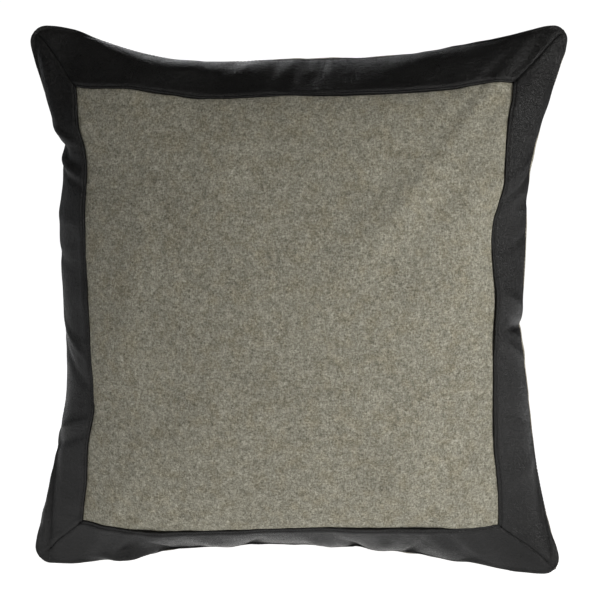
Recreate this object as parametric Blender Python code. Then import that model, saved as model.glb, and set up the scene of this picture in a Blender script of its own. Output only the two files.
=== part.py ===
"""Throw pillow, upright: a 20 inch knife-edge cover with a wool front panel in a
mitred leather frame, a wool back, a concealed zip in the bottom seam, and a
removable feather insert.

Metres, +Z up. The front faces -Y and +X is to the right of someone who looks at
the front. The origin is on the floor under the middle of the pillow.
"""

import math

import bpy
import numpy as np

# ---- driving dimensions (metres) ----
CUT = 0.508  # side of the square cut, seam to seam
PANEL = 0.406  # side of the wool panel, seam to seam
HALF_W = 0.2475  # half the width, corner to corner
HALF_H = 0.2530  # half the height, corner to corner
INSET_LEFT = 0.030  # how far each side's middle pulls in from its corners
INSET_RIGHT = 0.036
INSET_TOP = 0.031
CROWN_FRONT = 0.086  # crown of the front over the seam plane
CROWN_BACK = 0.0925
BACK_FLAT = 0.08638  # the back rests flat beyond this
SAG = 0.10  # how much fuller the lower half is
EAR = 0.36  # how much the corners are pinched
CORNER_R = 0.020  # rounding of the corners
FOOT = 0.0085  # how far the two bottom corners are pressed flat
FOOT_X = 0.222  # where the pressed foot begins, either side of the middle
LEATHER = 0.0012
WOOL = 0.0018
CAMBRIC = 0.0006
GAP = 0.0004  # left between touching pieces
RIM = 0.0004  # half the gap between front and back along the seam
THREAD = 0.0007
STITCH_IN = 0.0018  # edge stitching, from the leather's inner edge

ARCH_TOP = 0.0215  # middle of the bottom seam over the floor
ZIP_R = 0.94  # radius of the arch that the zip follows
ZIP_HALF = 0.175  # half of the zip's opening, along the arch
ZIP_LIP = 0.0010  # half of the slot between the seam's two lips
TRAVEL = 0.330  # the slider's travel along the arch
TAPE_W = 0.0095
TAPE_T = 0.0007
COIL_W = 0.0017  # each coil, across the seam
COIL_H = 0.0022
SLIDER_L = 0.0105
SLIDER_W = 0.0060
SLIDER_WALL = 0.0008
PULL_L = 0.0165
PULL_W = 0.0048
PULL_T = 0.0011

INSERT_IN = 0.0255  # the insert's seam, from the cover's seam
LABEL = (0.026, 0.0005, 0.0090)

LEATHER_RGB = (0.018, 0.017, 0.017)
WOOL_RGB = (0.235, 0.222, 0.180)
WOOL_BACK_RGB = (0.300, 0.280, 0.225)
THREAD_RGB = (0.016, 0.015, 0.015)
COTTON_RGB = (0.72, 0.70, 0.65)
FEATHER_RGB = (0.80, 0.78, 0.74)
NYLON_RGB = (0.020, 0.020, 0.021)
METAL_RGB = (0.070, 0.070, 0.072)

EDGE = PANEL / CUT  # the wool panel's edge as a share of the cut
SLIT = GAP / CUT  # half of a gap between touching pieces, as a share


def clear_scene():
    for obj in list(bpy.data.objects):
        bpy.data.objects.remove(obj, do_unlink=True)


def material(name, rgb, roughness, metallic=0.0):
    made = bpy.data.materials.new(name)
    made.use_nodes = True
    shader = made.node_tree.nodes["Principled BSDF"]
    shader.inputs["Base Color"].default_value = (*rgb, 1.0)
    shader.inputs["Roughness"].default_value = roughness
    shader.inputs["Metallic"].default_value = metallic
    return made


def add_mesh(name, points, faces, rgb, roughness, metallic=0.0, origin=(0, 0, 0)):
    """One closed body, with its faces turned outwards and its origin where asked."""
    points = np.asarray(points, float)
    volume = 0.0
    for face in faces:
        for i in range(1, len(face) - 1):
            a, b, c = points[face[0]], points[face[i]], points[face[i + 1]]
            volume += float(np.dot(a, np.cross(b, c)))
    if volume < 0:
        faces = [tuple(face)[::-1] for face in faces]
    mesh = bpy.data.meshes.new(name)
    local = points - np.asarray(origin, float)
    mesh.from_pydata([tuple(p) for p in local], [], [tuple(f) for f in faces])
    mesh.update()
    mesh.shade_smooth()
    mesh.set_sharp_from_angle(angle=math.radians(40))
    mesh.materials.append(material(name, rgb, roughness, metallic))
    obj = bpy.data.objects.new(name, mesh)
    obj.location = origin
    bpy.context.scene.collection.objects.link(obj)
    return obj


# ---- the pillow's shape, as functions of the flat cut ----
# u and v run from -1 to 1 across the flat square, u to the right and v up.


def waist(t):
    """0 at a side's corners and 1 along its middle."""
    return max(0.0, 1.0 - abs(t) ** 2.3) ** 1.25


def half_width(u, v):
    """Distance of the left or right seam from the middle, at the height v."""
    inset = INSET_RIGHT if u >= 0 else INSET_LEFT
    return HALF_W - inset * waist(v)


def arch(x):
    """Height of the bottom seam over the floor: round along the zip, then down to
    the foot. Below 0 the corner is pressed flat."""
    x = abs(x)
    end = ZIP_R * math.sin(ZIP_HALF / ZIP_R)
    if x <= end:
        return ARCH_TOP - (ZIP_R - math.sqrt(ZIP_R**2 - x**2))
    high = ARCH_TOP - (ZIP_R - math.sqrt(ZIP_R**2 - end**2))
    slope = -end / math.sqrt(ZIP_R**2 - end**2)
    reach = FOOT_X - end
    t = min(1.0, (x - end) / reach)
    return (
        (2 * t**3 - 3 * t**2 + 1) * high
        + (t**3 - 2 * t**2 + t) * reach * slope
        + (3 * t**2 - 2 * t**3) * -FOOT
    )


def half_height(u, v):
    """Distance of the top or bottom seam from the middle, at the place u across."""
    if v >= 0:
        return HALF_H - INSET_TOP * waist(u)
    return HALF_H - arch(u * HALF_W)


def spread(s, bulge, half):
    """The share of the half width that the share s of the cloth reaches, on an
    elliptic section."""
    angle = np.linspace(0, math.pi / 2, 120)
    x, y = half * np.sin(angle), max(bulge, 1e-4) * np.cos(angle)
    length = np.concatenate([[0], np.cumsum(np.hypot(np.diff(x), np.diff(y)))])
    reach = np.interp(abs(s), length / length[-1], x / half)
    return math.copysign(float(reach), s)


def crown(p, q, depth):
    """Height of the surface over the seam plane, at these shares of its half width
    and half height."""
    a, b = max(0.0, 1.0 - p * p), max(0.0, 1.0 - q * q)
    ear = 1.0 - EAR * (p * p * q * q) ** 1.4
    lower = 1.0 - SAG * q * b
    return depth * math.sqrt(a * b) * ear * lower


def rounded(u, v):
    """Rounds the square's corners, by turning each corner's patch into a disc's."""
    k = 1.0 - CORNER_R / (CUT / 2)
    if abs(u) <= k or abs(v) <= k:
        return u, v
    a, b = (abs(u) - k) / (1 - k), (abs(v) - k) / (1 - k)
    a2, b2 = a * math.sqrt(1 - b * b / 2), b * math.sqrt(1 - a * a / 2)
    return (
        math.copysign(k + a2 * (1 - k), u),
        math.copysign(k + b2 * (1 - k), v),
    )


def lip(u, v):
    """Half of the seam's gap: wider along the zip, where the pull runs in a slot."""
    along = abs(u) * HALF_W
    if v > -0.9 or along > ZIP_HALF + 0.012:
        return RIM
    near = min(1.0, (-v - 0.9) / 0.06)
    end = min(1.0, (ZIP_HALF + 0.012 - along) / 0.008)
    return RIM + (ZIP_LIP - RIM) * near * end


def surface(u, v, side, inward=0.0, shrink=0.0, rim=True):
    """A point of the cover's outer face, side -1 for the front and 1 for the back.
    shrink pulls the outline in, as the insert's is, and inward lowers the crown."""
    depth = CROWN_FRONT if side < 0 else CROWN_BACK
    p = spread(u, depth * math.sqrt(max(0.0, 1 - v * v)), HALF_W)
    q = spread(v, depth * math.sqrt(max(0.0, 1 - u * u)), HALF_H)
    y = crown(p, q, depth - inward)
    if side > 0:
        y = min(y, BACK_FLAT - inward)
    ru, rv = rounded(u, v)
    pr = spread(ru, depth * math.sqrt(max(0.0, 1 - rv * rv)), HALF_W)
    qr = spread(rv, depth * math.sqrt(max(0.0, 1 - ru * ru)), HALF_H)
    x = pr * (half_width(ru, rv) - shrink)
    z = qr * (half_height(ru, rv) - shrink)
    edge = (lip(u, v) if shrink == 0 else RIM) if rim else 0.0
    return np.array([x, side * (y + edge), HALF_H + z])


def normal(u, v, side, inward=0.0, shrink=0.0):
    """Unit normal that points out of the pillow, from short steps of the surface."""
    h = 3e-3
    u0, u1 = max(u - h, -1), min(u + h, 1)
    v0, v1 = max(v - h, -1), min(v + h, 1)
    du = surface(u1, v, side, inward, shrink) - surface(u0, v, side, inward, shrink)
    dv = surface(u, v1, side, inward, shrink) - surface(u, v0, side, inward, shrink)
    n = np.cross(du, dv) * -side
    length = np.linalg.norm(n)
    if length < 1e-12:
        return np.array([0.0, float(side), 0.0])
    return n / length


def shifted(u, v, side, out, inward=0.0, shrink=0.0):
    """The surface's point moved out along its normal. It stays on its own side of
    the seam plane and over the floor."""
    point = surface(u, v, side, inward, shrink) + out * normal(
        u, v, side, inward, shrink
    )
    edge = lip(u, v) if shrink == 0 else RIM
    point[1] = side * max(side * point[1], edge)
    point[2] = max(point[2], max(0.0, -out))
    return point


def sheet(name, uv, side, thickness, rgb, roughness, inward=0.0, shrink=0.0):
    """A closed skin over a grid of (u, v), its outer face on the surface."""
    rows, cols = len(uv), len(uv[0])
    points = []
    for out in (0.0, -thickness):
        for row in uv:
            points += [shifted(u, v, side, out, inward, shrink) for u, v in row]

    def at(layer, j, i):
        return layer * rows * cols + j * cols + i

    faces = []
    for j in range(rows - 1):
        for i in range(cols - 1):
            faces.append((at(0, j, i), at(0, j, i + 1), at(0, j + 1, i + 1), at(0, j + 1, i)))
            faces.append((at(1, j, i), at(1, j + 1, i), at(1, j + 1, i + 1), at(1, j, i + 1)))
    rim = (
        [(0, i) for i in range(cols)]
        + [(j, cols - 1) for j in range(1, rows)]
        + [(rows - 1, i) for i in range(cols - 2, -1, -1)]
        + [(j, 0) for j in range(rows - 2, 0, -1)]
    )
    for a, b in zip(rim, rim[1:] + rim[:1]):
        faces.append((at(0, *b), at(0, *a), at(1, *a), at(1, *b)))
    return add_mesh(name, points, faces, rgb, roughness)


def bar(name, sections, rgb, roughness, closed=False, metallic=0.0, origin=(0, 0, 0)):
    """A solid through a row of sections, each the same number of points in order."""
    count, size = len(sections), len(sections[0])
    points = [p for section in sections for p in section]
    faces = []
    for k in range(count if closed else count - 1):
        n = (k + 1) % count
        for i in range(size):
            m = (i + 1) % size
            faces.append((k * size + i, k * size + m, n * size + m, n * size + i))
    if not closed:
        faces.append(tuple(range(size - 1, -1, -1)))
        faces.append(tuple((count - 1) * size + i for i in range(size)))
    return add_mesh(name, points, faces, rgb, roughness, metallic, origin)


def steps(fine, count):
    """Even steps from -1 to 1 with closer ones at both ends, for the corners."""
    inner = list(np.linspace(-fine[0], fine[0], count))
    return [-1.0] + [-f for f in fine[:0:-1]] + inner + list(fine[1:]) + [1.0]


# ---- cover ----


def cover():
    along = steps((0.84, 0.92, 0.965), 13)
    across = [t * (EDGE - SLIT) for t in along]
    sheet(
        "front_panel",
        [[(u, v) for u in across] for v in across],
        -1, WOOL, WOOL_RGB, 0.95,
    )
    depth = [EDGE + SLIT, 0.885, 0.965, 1.0]
    turns = {
        "top": lambda r, t: (t, r),
        "right": lambda r, t: (r, t),
        "bottom": lambda r, t: (t, -r),
        "left": lambda r, t: (-r, t),
    }
    for name, turn in turns.items():
        uv = [[turn(r, t * (r - 2.6 * SLIT)) for t in along] for r in depth]
        sheet("border_" + name, uv, -1, LEATHER, LEATHER_RGB, 0.42)
        edge_stitch(name, turn)
    for name, su, sv in (("tl", -1, 1), ("tr", 1, 1), ("br", 1, -1), ("bl", -1, -1)):
        mitre_stitch(name, su, sv)
    sheet(
        "back_panel",
        [[(u, v) for u in along] for v in along],
        1, WOOL, WOOL_BACK_RGB, 0.95,
    )
    perimeter_seam()


def edge_stitch(name, turn):
    """The row of thread that holds the leather's inner edge down."""
    r = EDGE + STITCH_IN / (CUT / 2)
    half = THREAD / CUT
    sections = []
    for t in np.linspace(-1, 1, 21):
        t = t * (r - 1.4 * SLIT - half)
        sections.append(
            [
                shifted(*turn(r + a, t), -1, out)
                for a, out in (
                    (-half, GAP),
                    (half, GAP),
                    (half, GAP + THREAD),
                    (-half, GAP + THREAD),
                )
            ]
        )
    bar("edge_stitch_" + name, sections, THREAD_RGB, 0.6)


def mitre_stitch(name, su, sv):
    """The seam thread under each mitre."""
    half = THREAD / CUT
    low = -(LEATHER + GAP + THREAD)
    sections = []
    for r in np.linspace(EDGE + 0.012, 0.925, 6):
        sections.append(
            [
                shifted(su * (r + a), sv * (r - a), -1, out)
                for a, out in (
                    (-half, low),
                    (half, low),
                    (half, low + THREAD),
                    (-half, low + THREAD),
                )
            ]
        )
    bar("mitre_stitch_" + name, sections, THREAD_RGB, 0.6)


def outline(inset, count, start=0.0, end=1.0, shrink=0.0):
    """Points of the cover's seam in its plane, moved in by inset, from the bottom's
    middle to the right and round. start and end are shares of the whole way, and
    shrink is the insert's, as in surface."""
    found = []
    for k in range(count):
        w = (start + (end - start) * k / (count - 1)) % 1.0
        side, t = int(w * 4 + 0.5) % 4, (w * 4 + 0.5) % 1.0 * 2 - 1
        u, v = ((t, -1.0), (1.0, t), (-t, 1.0), (-1.0, -t))[side]
        ru, rv = rounded(u, v)
        x = ru * (half_width(ru, rv) - shrink)
        z = HALF_H + rv * (half_height(ru, rv) - shrink)
        found.append((x, max(z, 0.0)))
    found = np.array(found)
    way = np.gradient(found, axis=0)
    way /= np.linalg.norm(way, axis=1)[:, None]
    return found + inset * np.stack([-way[:, 1], way[:, 0]], axis=1)


def flat_tube(path, half, closed=False):
    """Diamond sections round a path in the seam plane."""
    if closed:
        way = np.roll(path, -1, axis=0) - np.roll(path, 1, axis=0)
    else:
        way = np.gradient(path, axis=0)
    way /= np.linalg.norm(way, axis=1)[:, None]
    return [
        [
            (x - half * wz, 0.0, z + half * wx),
            (x, half, z),
            (x + half * wz, 0.0, z - half * wx),
            (x, -half, z),
        ]
        for (x, z), (wx, wz) in zip(path, way)
    ]


def perimeter_seam():
    """The thread that joins front and back, from one end of the zip round to the
    other."""
    gone = (ZIP_HALF + 0.014) / HALF_W / 8
    path = outline(0.0036, 97, gone, 1.0 - gone)
    bar("perimeter_seam", flat_tube(path, THREAD / 2), THREAD_RGB, 0.6)


# ---- zip ----
# angle is measured round the arch's centre, from straight up and positive to the
# right; up is the distance from the seam, into the pillow.


def on_arch(angle, up, y):
    radius = ZIP_R + up
    return np.array(
        [
            radius * math.sin(angle),
            y,
            ARCH_TOP - ZIP_R + radius * math.cos(angle),
        ]
    )


UP_WEB = 0.0030  # underside of the slider, clear of the two lips of the seam
UP_COIL = 0.0042
UP_TAPE = UP_COIL + COIL_H + 0.0003


def zip_fixed():
    angles = np.linspace(-0.172, 0.172, 19) / ZIP_R
    for name, side in (("front", -1), ("back", 1)):
        near, far = 0.0002, 0.0002 + COIL_W
        middle, half = UP_COIL + COIL_H / 2, COIL_H / 2
        cut = 0.0005
        section = [
            (near, -half), (far - cut, -half), (far, -half + cut),
            (far, half - cut), (far - cut, half), (near, half),
        ]
        bar(
            "zip_coil_" + name,
            [[on_arch(a, middle + h, side * y) for y, h in section] for a in angles],
            NYLON_RGB, 0.35,
        )
        low, high = UP_TAPE, UP_TAPE + TAPE_W
        section = [
            (near, low), (near + TAPE_T, low), (near + TAPE_T, high), (near, high),
        ]
        bar(
            "zip_tape_" + name,
            [[on_arch(a, up, side * y) for y, up in section] for a in angles],
            NYLON_RGB, 0.8,
        )
    for name, side in (("start", -1), ("end", 1)):
        ends = np.array([0.1724, 0.1750]) / ZIP_R * side
        wide, low, high = 0.0019, UP_COIL - 0.0002, UP_COIL + COIL_H
        section = [(-wide, low), (wide, low), (wide, high), (-wide, high)]
        bar(
            "zip_stop_" + name,
            [[on_arch(a, up, y) for y, up in section] for a in ends],
            METAL_RGB, 0.4, metallic=0.8,
        )


def zip_moving():
    rest = -TRAVEL / 2 / ZIP_R
    centre = (0.0, 0.0, ARCH_TOP - ZIP_R)
    half, wall = SLIDER_W / 2, SLIDER_WALL
    top = UP_COIL + COIL_H + 0.0009
    inner = 0.0002 + COIL_W + 0.0003
    # channel that opens inwards, seen along the seam; it flares at its mouth
    section = [
        (-half, UP_WEB), (half, UP_WEB), (half, top), (half - wall, top),
        (inner, UP_WEB + wall), (-inner, UP_WEB + wall), (-(half - wall), top),
        (-half, top),
    ]
    ends = []
    for share in (-0.5, -0.36, 0.36, 0.5):
        a = rest + share * SLIDER_L / ZIP_R
        tuck = 0.0006 if abs(share) == 0.5 else 0.0
        ends.append(
            [
                on_arch(a, up if up > UP_WEB else up + tuck * 0.4, y)
                for y, up in section
            ]
        )
    body = bar("zip_slider", ends, METAL_RGB, 0.35, metallic=0.8, origin=centre)
    # post that carries the pull, down through the slot
    post = []
    for share, low in ((-0.15, -0.0012), (-0.09, -0.0026), (0.09, -0.0026), (0.15, -0.0012)):
        a = rest + share * SLIDER_L / ZIP_R
        post.append(
            [
                on_arch(a, up, y)
                for y, up in (
                    (-0.0005, low), (0.0005, low),
                    (0.0005, UP_WEB + wall * 0.5), (-0.0005, UP_WEB + wall * 0.5),
                )
            ]
        )
    stem = bar("zip_post", post, METAL_RGB, 0.35, metallic=0.8, origin=centre)
    stem.hide_render = True
    stem.display_type = "WIRE"
    join = body.modifiers.new("post", "BOOLEAN")
    join.operation = "UNION"
    join.solver = "EXACT"
    join.object = stem

    # the pull: a flat drop with two cheeks, either side of the post
    eye = on_arch(rest, -0.0017, 0.0)
    along = np.array([math.cos(rest), 0.0, -math.sin(rest)])
    down = np.array([-math.sin(rest), 0.0, -math.cos(rest)])
    cheek_in, cheek_out, radius = 0.0008, PULL_W / 2 * 0.62, 0.0011
    start = 0.0026  # the two cheeks meet here, past the post
    drop = []
    for share, wide in ((0.0, 0.62), (0.25, 0.80), (0.55, 1.0), (0.8, 0.86), (1.0, 0.45)):
        at = start + share * (PULL_L - start)
        w = PULL_W / 2 * wide
        drop.append(
            [
                eye + along * at + down * d + np.array([0, y, 0])
                for y, d in (
                    (-w, -PULL_T / 2), (w, -PULL_T / 2), (w, PULL_T / 2), (-w, PULL_T / 2),
                )
            ]
        )
    pull = bar("zip_pull", drop, METAL_RGB, 0.3, metallic=0.8, origin=tuple(eye))
    for side in (-1, 1):
        cheek = []
        for y in (cheek_in * side, cheek_out * side):
            loop = [(-radius, -0.0006), (-radius * 0.5, -radius), (start + 0.0008, -PULL_T / 2),
                    (start + 0.0008, PULL_T / 2), (-radius * 0.5, radius), (-radius, 0.0006)]
            cheek.append([eye + along * a + down * d + np.array([0, y, 0]) for a, d in loop])
        name = "pull_cheek_front" if side < 0 else "pull_cheek_back"
        arm = bar(name, cheek, METAL_RGB, 0.3, metallic=0.8, origin=tuple(eye))
        arm.hide_render = True
        arm.display_type = "WIRE"
        join = pull.modifiers.new(name, "BOOLEAN")
        join.operation = "UNION"
        join.solver = "EXACT"
        join.object = arm


# ---- insert ----


def insert():
    grid = [-1.0, -0.95, -0.85] + list(np.linspace(-0.7, 0.7, 9)) + [0.85, 0.95, 1.0]
    uv = [[(u, v) for u in grid] for v in grid]
    for name, side in (("front", -1), ("back", 1)):
        sheet(
            "insert_case_" + name, uv, side, CAMBRIC, COTTON_RGB, 0.85,
            inward=0.0045, shrink=INSERT_IN,
        )
    # its seam's thread, just outside the two halves
    path = outline(0.0, 81, shrink=INSERT_IN - 0.0014)[:-1]
    bar("insert_seam", flat_tube(path, 0.0003, closed=True), COTTON_RGB, 0.8, closed=True)
    # the filling: one crowned body
    n = len(grid)
    points, front, back = [], {}, {}
    for j, v in enumerate(grid):
        for i, u in enumerate(grid):
            on_rim = i in (0, n - 1) or j in (0, n - 1)
            front[j, i] = len(points)
            points.append(surface(u, v, -1, 0.0065, INSERT_IN + 0.004, rim=False))
            if on_rim:
                back[j, i] = front[j, i]
            else:
                back[j, i] = len(points)
                points.append(surface(u, v, 1, 0.0065, INSERT_IN + 0.004, rim=False))
    faces = []
    for j in range(n - 1):
        for i in range(n - 1):
            quad = [(j, i), (j, i + 1), (j + 1, i + 1), (j + 1, i)]
            faces.append(tuple(front[q] for q in quad))
            faces.append(tuple(back[q] for q in quad[::-1]))
    add_mesh("insert_fill", points, faces, FEATHER_RGB, 0.95)


def care_label():
    """A blank fabric tab on the back tape's edge."""
    half = LABEL[0] / 2
    y0 = 0.0002 + TAPE_T + 0.0005
    section = [
        (y0, UP_TAPE + 0.0018), (y0 + LABEL[1], UP_TAPE + 0.0018),
        (y0 + LABEL[1], UP_TAPE + 0.0018 + LABEL[2]), (y0, UP_TAPE + 0.0018 + LABEL[2]),
    ]
    angles = (0.115 + np.linspace(-half, half, 4)) / ZIP_R
    bar(
        "care_label",
        [[on_arch(a, up, y) for y, up in section] for a in angles],
        COTTON_RGB, 0.8,
    )


def main():
    clear_scene()
    cover()
    zip_fixed()
    zip_moving()
    insert()
    care_label()


main()
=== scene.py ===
"""Looks of the throw pillow: a wool panel in a mitred black leather frame, wool back,
concealed zip in the bottom seam and a feather insert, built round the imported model."""

import math

import bpy
import numpy as np
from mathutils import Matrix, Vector


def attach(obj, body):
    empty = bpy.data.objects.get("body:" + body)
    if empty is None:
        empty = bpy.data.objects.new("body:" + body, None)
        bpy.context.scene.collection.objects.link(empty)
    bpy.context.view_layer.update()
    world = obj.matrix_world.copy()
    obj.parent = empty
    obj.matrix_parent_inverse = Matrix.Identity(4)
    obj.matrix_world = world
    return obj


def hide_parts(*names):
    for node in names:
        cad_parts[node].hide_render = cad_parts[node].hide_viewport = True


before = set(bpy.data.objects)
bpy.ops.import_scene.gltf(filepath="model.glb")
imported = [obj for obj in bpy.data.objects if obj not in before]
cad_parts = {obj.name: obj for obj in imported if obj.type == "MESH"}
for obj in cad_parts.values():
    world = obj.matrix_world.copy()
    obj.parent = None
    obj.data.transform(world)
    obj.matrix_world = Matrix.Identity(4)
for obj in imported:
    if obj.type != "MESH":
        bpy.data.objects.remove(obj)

for name in ("Cube", "Light", "Camera"):  # whatever a new Blender scene starts with
    if name in bpy.data.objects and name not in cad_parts:
        bpy.data.objects.remove(bpy.data.objects[name], do_unlink=True)
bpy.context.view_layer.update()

# ------------------------------------------------------------------ dimensions (m)
CUT = 0.508
HALF = CUT / 2
PANEL = 0.406
EDGE = PANEL / CUT
CROWN_FRONT = 0.0862
CROWN_BACK = 0.0905
BACK_FLAT = 0.0862
SAG = 0.10
EAR = 0.36
CORNER_R = 0.029
LEATHER = 0.0012
WOOL = 0.0018
ARCH_TOP = 0.0215
ZIP_R = 0.94
ZIP_HALF = 0.175
ZIP_LIP = 0.0010
TRAVEL = 0.330
UP_WEB = 0.0030
UP_COIL = 0.0042
COIL_W = 0.0017
COIL_H = 0.0022
UP_TAPE = UP_COIL + COIL_H + 0.0003
TAPE_W = 0.0095
GRID = 97  # points across the cloth that is simulated
DRAW_FRAMES = 10
SIM_FRAMES = 22


# ------------------------------------------------------------------ small tools
def curve(points):
    """A smooth function through (t, value) points that doesn't overshoot them."""
    t = np.array([p[0] for p in points], float)
    y = np.array([p[1] for p in points], float)
    h, d = np.diff(t), np.diff(y) / np.diff(t)
    m = np.zeros_like(y)
    m[0], m[-1] = d[0], d[-1]
    for k in range(1, len(t) - 1):
        if d[k - 1] * d[k] > 0:
            w1, w2 = 2 * h[k] + h[k - 1], h[k] + 2 * h[k - 1]
            m[k] = (w1 + w2) / (w1 / d[k - 1] + w2 / d[k])

    def at(x):
        x = np.clip(np.asarray(x, float), t[0], t[-1])
        k = np.clip(np.searchsorted(t, x, side="right") - 1, 0, len(t) - 2)
        s = (x - t[k]) / h[k]
        return (
            (2 * s**3 - 3 * s**2 + 1) * y[k]
            + (s**3 - 2 * s**2 + s) * h[k] * m[k]
            + (3 * s**2 - 2 * s**3) * y[k + 1]
            + (s**3 - s**2) * h[k] * m[k + 1]
        )

    return at


def smooth(a, b, x):
    s = np.clip((np.asarray(x, float) - a) / (b - a), 0, 1)
    return s * s * (3 - 2 * s)


def bump(x, centre, width):
    return np.exp(-(((np.asarray(x, float) - centre) / width) ** 2))


def lattice(seed, count=512):
    return np.random.default_rng(seed).uniform(-1, 1, count)


def noise1(x, seed):
    """Smooth random wave, one knot per unit of x."""
    table = lattice(seed)
    k = np.floor(x).astype(int)
    s = x - k
    s = s * s * (3 - 2 * s)
    return table[k % 512] * (1 - s) + table[(k + 1) % 512] * s


def noise2(x, y, seed):
    table = np.random.default_rng(seed).uniform(-1, 1, (128, 128))
    i, j = np.floor(x).astype(int), np.floor(y).astype(int)
    s, t = x - i, y - j
    s, t = s * s * (3 - 2 * s), t * t * (3 - 2 * t)
    i0, i1, j0, j1 = i % 128, (i + 1) % 128, j % 128, (j + 1) % 128
    return (table[j0, i0] * (1 - s) + table[j0, i1] * s) * (1 - t) + (
        table[j1, i0] * (1 - s) + table[j1, i1] * s
    ) * t


# ------------------------------------------------------------------ outline
# Each side pulls in from the line between its corners. t runs from -1 to 1, left to
# right or bottom to top; values are metres.
TL, TR = (-0.2510, 0.5090), (0.2518, 0.5082)
BR, BL = (0.2488, 0.0000), (-0.2530, 0.0000)

pull_left = curve([
    (-1, 0), (-0.875, 0.0060), (-0.72, 0.0165), (-0.57, 0.0255), (-0.49, 0.0302),
    (-0.36, 0.0356), (-0.16, 0.0372), (0.0, 0.0348), (0.18, 0.0316), (0.36, 0.0334),
    (0.50, 0.0352), (0.55, 0.0352), (0.595, 0.0326), (0.65, 0.0278), (0.72, 0.0206),
    (0.80, 0.0126), (0.87, 0.0072), (0.94, 0.0026), (1, 0),
])
pull_right = curve([
    (-1, 0), (-0.92, 0.0040), (-0.84, 0.0110), (-0.76, 0.0170), (-0.62, 0.0250),
    (-0.48, 0.0306), (-0.34, 0.0354), (-0.2, 0.0398), (-0.11, 0.0424), (0.0, 0.0416),
    (0.12, 0.0400), (0.25, 0.0394), (0.40, 0.0390), (0.48, 0.0368), (0.55, 0.0334),
    (0.62, 0.0292), (0.69, 0.0238), (0.76, 0.0178), (0.83, 0.0118), (0.9, 0.0054),
    (1, 0),
])
pull_top = curve([
    (-1, 0), (-0.9, 0.0012), (-0.82, 0.0046), (-0.73, 0.0138), (-0.64, 0.0220),
    (-0.54, 0.0288), (-0.44, 0.0332), (-0.33, 0.0350), (-0.2, 0.0344), (-0.1, 0.0326),
    (0.04, 0.0318), (0.2, 0.0312), (0.36, 0.0292), (0.47, 0.0262), (0.56, 0.0215),
    (0.66, 0.0168), (0.75, 0.0124), (0.84, 0.0066), (0.92, 0.0022), (1, 0),
])


def arch(x):
    """Height of the bottom seam over the floor: round along the zip, then down."""
    x = np.abs(np.asarray(x, float))
    end = ZIP_R * math.sin(ZIP_HALF / ZIP_R)
    mid = ARCH_TOP - (ZIP_R - np.sqrt(ZIP_R**2 - np.minimum(x, end) ** 2))
    high = ARCH_TOP - (ZIP_R - math.sqrt(ZIP_R**2 - end**2))
    slope = -end / math.sqrt(ZIP_R**2 - end**2)
    reach = 0.222 - end
    s = np.clip((x - end) / reach, 0, 1)
    past = (2 * s**3 - 3 * s**2 + 1) * high + (s**3 - 2 * s**2 + s) * reach * slope
    return np.where(x <= end, mid, np.maximum(past - 0.0014 * s, 0.0))


def left_x(v):
    nick = 0.0022 * bump(v, 0.555, 0.016) + 0.0010 * bump(v, -0.48, 0.02)
    return BL[0] + (TL[0] - BL[0]) * (v + 1) / 2 + pull_left(v) + nick


def right_x(v):
    nick = 0.0024 * bump(v, -0.085, 0.018) + 0.0008 * bump(v, 0.36, 0.02)
    return BR[0] + (TR[0] - BR[0]) * (v + 1) / 2 - pull_right(v) - nick


def top_z(u):
    return TL[1] + (TR[1] - TL[1]) * (u + 1) / 2 - pull_top(u)


def bottom_z(u):
    return arch(u * 0.2485)


# ------------------------------------------------------------------ start shape
def spread(s, bulge, half):
    """The share of the half width that the share s of the cloth reaches, on an
    elliptic section with this crown."""
    angle = np.linspace(0, math.pi / 2, 160)
    bulges = np.linspace(1e-4, 0.1, 24)
    table = []
    for b in bulges:
        x, y = half * np.sin(angle), b * np.cos(angle)
        way = np.concatenate([[0], np.cumsum(np.hypot(np.diff(x), np.diff(y)))])
        table.append(np.interp(np.linspace(0, 1, 200), way / way[-1], x / half))
    table = np.array(table)
    s_in = np.abs(s) * 199
    b_in = np.clip((bulge - bulges[0]) / (bulges[1] - bulges[0]), 0, 22.999)
    i, j = np.minimum(s_in.astype(int), 198), b_in.astype(int)
    a, b = s_in - i, b_in - j
    found = (table[j, i] * (1 - a) + table[j, i + 1] * a) * (1 - b) + (
        table[j + 1, i] * (1 - a) + table[j + 1, i + 1] * a
    ) * b
    return np.sign(s) * found


def rounded(u, v):
    k = 1.0 - CORNER_R / HALF
    a = np.clip((np.abs(u) - k) / (1 - k), 0, 1)
    b = np.clip((np.abs(v) - k) / (1 - k), 0, 1)
    both = (a > 0) & (b > 0)
    a2, b2 = a * np.sqrt(1 - b * b / 2), b * np.sqrt(1 - a * a / 2)
    ru = np.where(both, np.sign(u) * (k + a2 * (1 - k)), u)
    rv = np.where(both, np.sign(v) * (k + b2 * (1 - k)), v)
    return ru, rv


def start_surface(u, v, side):
    depth = CROWN_FRONT if side < 0 else CROWN_BACK

    def places(u, v):
        p = spread(u, depth * np.sqrt(np.maximum(0, 1 - v * v)), 0.235)
        q = spread(v, depth * np.sqrt(np.maximum(0, 1 - u * u)), 0.240)
        return p, q

    p, q = places(u, v)
    a, b = np.maximum(0, 1 - p * p), np.maximum(0, 1 - q * q)
    y = depth * np.sqrt(a * b) * (1 - EAR * (p * p * q * q) ** 1.4) * (1 - SAG * q * b)
    ru, rv = rounded(u, v)
    p, q = places(ru, rv)
    x = left_x(rv) + (right_x(rv) - left_x(rv)) * (p + 1) / 2
    z = bottom_z(ru) + (top_z(ru) - bottom_z(ru)) * (q + 1) / 2
    return np.stack([x, side * y, z], axis=-1)


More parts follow.
